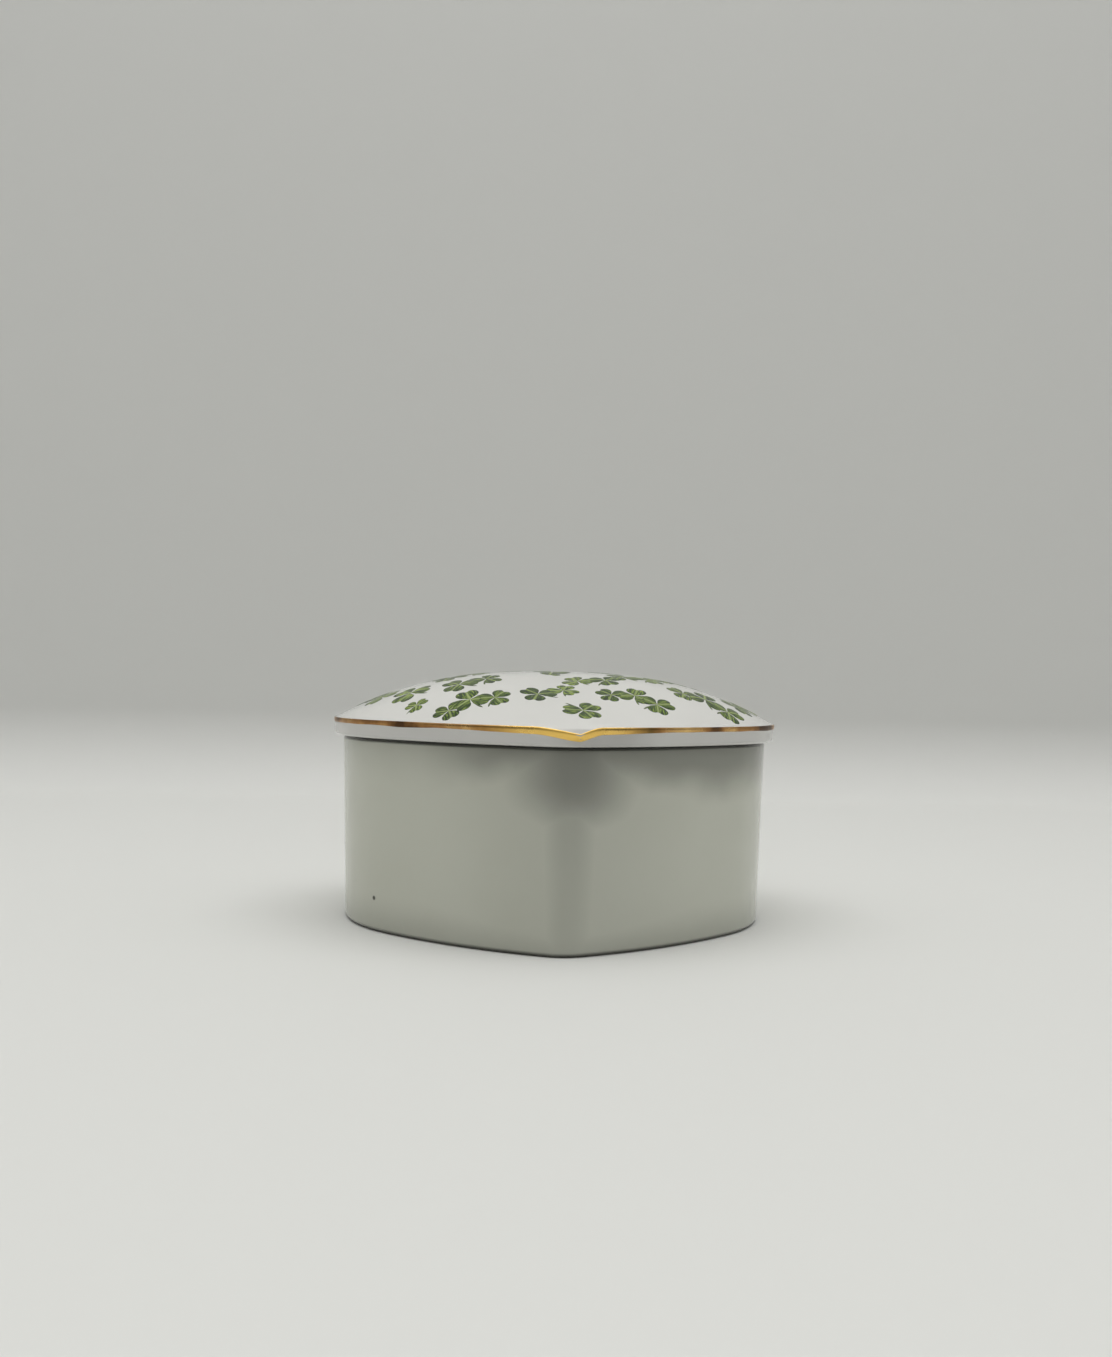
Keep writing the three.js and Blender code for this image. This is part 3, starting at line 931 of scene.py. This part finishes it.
# %% Tie the porcelain to the frame
for piece, cad_node, body, slot in (
    (porcelain_body, "box_body", "body", "body_glaze"),
    (porcelain_lid, "lid", "lid", "lid_glaze"),
):
    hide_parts(cad_node)
    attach(piece, body)
for piece, slot in ((gilt_line, "gilding"), (clover_sprays, "clover_enamel")):
    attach(piece, "lid")
lid_pieces = (porcelain_lid, gilt_line, clover_sprays)
print(porcelain_body.name, "rides the body, and", [piece.name for piece in lid_pieces], "ride the lid")

# %% [markdown]
# ## The studio
#
# White ware needs a soft, broad light from above and something darker in front of it, or it melts
# into the background. A sheet of pale card makes the floor and curves up behind the box, one wide
# lamp hangs over it, and the world is dimmer on the camera's side.

# %% Floor and backdrop
SHEET_HALF_WIDTH = 3.0
SHEET_FRONT = -2.5
BEND_START = 0.20
BEND_RADIUS = 0.03
BEND_STEPS = 32
WALL_TOP = 2.0


def sweep_sheet():
    """Floor, curve and wall as one sheet, standing clear behind the box."""
    line = [(SHEET_FRONT, 0.0), (BEND_START, 0.0)]
    for angle in np.linspace(0, math.pi / 2, BEND_STEPS + 1)[1:]:
        line.append((BEND_START + BEND_RADIUS * math.sin(angle), BEND_RADIUS * (1 - math.cos(angle))))
    line.append((BEND_START + BEND_RADIUS, WALL_TOP))
    points = [(x, y, z) for y, z in line for x in (-SHEET_HALF_WIDTH, SHEET_HALF_WIDTH)]
    faces = [(2 * i, 2 * i + 1, 2 * i + 3, 2 * i + 2) for i in range(len(line) - 1)]
    mesh = bpy.data.meshes.new("studio_sheet")
    mesh.from_pydata(points, [], faces)
    mesh.shade_smooth()
    sheet = bpy.data.objects.new("studio_sheet", mesh)
    bpy.context.scene.collection.objects.link(sheet)
    return sheet


sheet = sweep_sheet()
card, _, card_shader = new_material("pale card")
card_shader.inputs["Base Color"].default_value = (0.72, 0.723, 0.705, 1)
card_shader.inputs["Roughness"].default_value = 0.75
sheet.data.materials.append(card)
print("the sheet's wall stands at y =", BEND_START + BEND_RADIUS, "m")


# %% Lamp and world
def soft_lamp(name, place, aim, size, watts, colour):
    """A rectangular area lamp at a place, aimed at a point."""
    data = bpy.data.lights.new(name, "AREA")
    data.shape = "RECTANGLE"
    data.size, data.size_y = size
    data.energy = watts
    data.color = colour
    lamp = bpy.data.objects.new(name, data)
    lamp.location = place
    way = [a - p for a, p in zip(aim, place)]
    lamp.rotation_euler = Vector(way).to_track_quat("-Z", "Y").to_euler()
    bpy.context.scene.collection.objects.link(lamp)
    return lamp


def studio_world(front, side, back, above):
    """Light from all round: dim in front, brighter at the sides and back, brightest overhead."""
    world = bpy.data.worlds.new("studio")
    bpy.context.scene.world = world
    world.use_nodes = True
    tree = world.node_tree
    way = node(tree, "ShaderNodeTexCoord").outputs["Generated"]
    _, y, z = node(tree, "ShaderNodeSeparateXYZ", {"Vector": way}).outputs
    depth = span(tree, y, -1.0, 1.0, kind="LINEAR")
    level = ramp(tree, depth, [(0.0, front), (0.28, front), (0.55, side), (1.0, back)])
    height = maths(tree, "POWER", maths(tree, "MAXIMUM", z, 0.0), 3.0)
    tree.links.new(blend(tree, height, level, (*above, 1)), tree.nodes["Background"].inputs["Color"])


lamp = soft_lamp("overhead", (0.0, 0.05, 0.8), (0, 0, 0), (1.0, 0.8), 3.2, (1.0, 1.0, 0.99))
studio_world((0.08, 0.08, 0.077), (0.80, 0.80, 0.78), (0.86, 0.86, 0.84), (1.72, 1.72, 1.68))
print("one lamp of", round(lamp.data.energy, 1), "W hangs", lamp.location.z, "m up")

# %% [markdown]
# ## The camera
#
# The box is seen from just below the top of its lid, close up, with a wide lens. That is what makes
# the near tip of the heart loom and the two walls fall away from it.

# %% Place the camera
EYE_DISTANCE = 0.2025
EYE_HEIGHT = 0.0415
EYE_YAW = 0.058
EYE_PITCH = 0.005
EYE_ROLL = 0.0195
LENS = 29.55
FILM_WIDTH = 36.0

camera_data = bpy.data.cameras.new("camera")
camera_data.lens = LENS
camera_data.sensor_width = FILM_WIDTH
camera_data.clip_start = 0.01
camera = bpy.data.objects.new("camera", camera_data)
bpy.context.scene.collection.objects.link(camera)
bpy.context.scene.camera = camera
flat_look = Vector((math.sin(EYE_YAW), math.cos(EYE_YAW), 0))
look = flat_look * math.cos(EYE_PITCH) + Vector((0, 0, math.sin(EYE_PITCH)))
widest = Vector((0, (tip_y + LOBE_BACK) * MM, 0))
camera.location = widest - flat_look * EYE_DISTANCE + Vector((0, 0, EYE_HEIGHT))
turn = look.to_track_quat("-Z", "Y").to_matrix() @ Matrix.Rotation(EYE_ROLL, 3, "Z")
camera.rotation_euler = turn.to_euler()
bpy.context.scene.view_settings.view_transform = "Standard"
print("the camera stands at", [round(v / MM, 1) for v in camera.location], "mm")
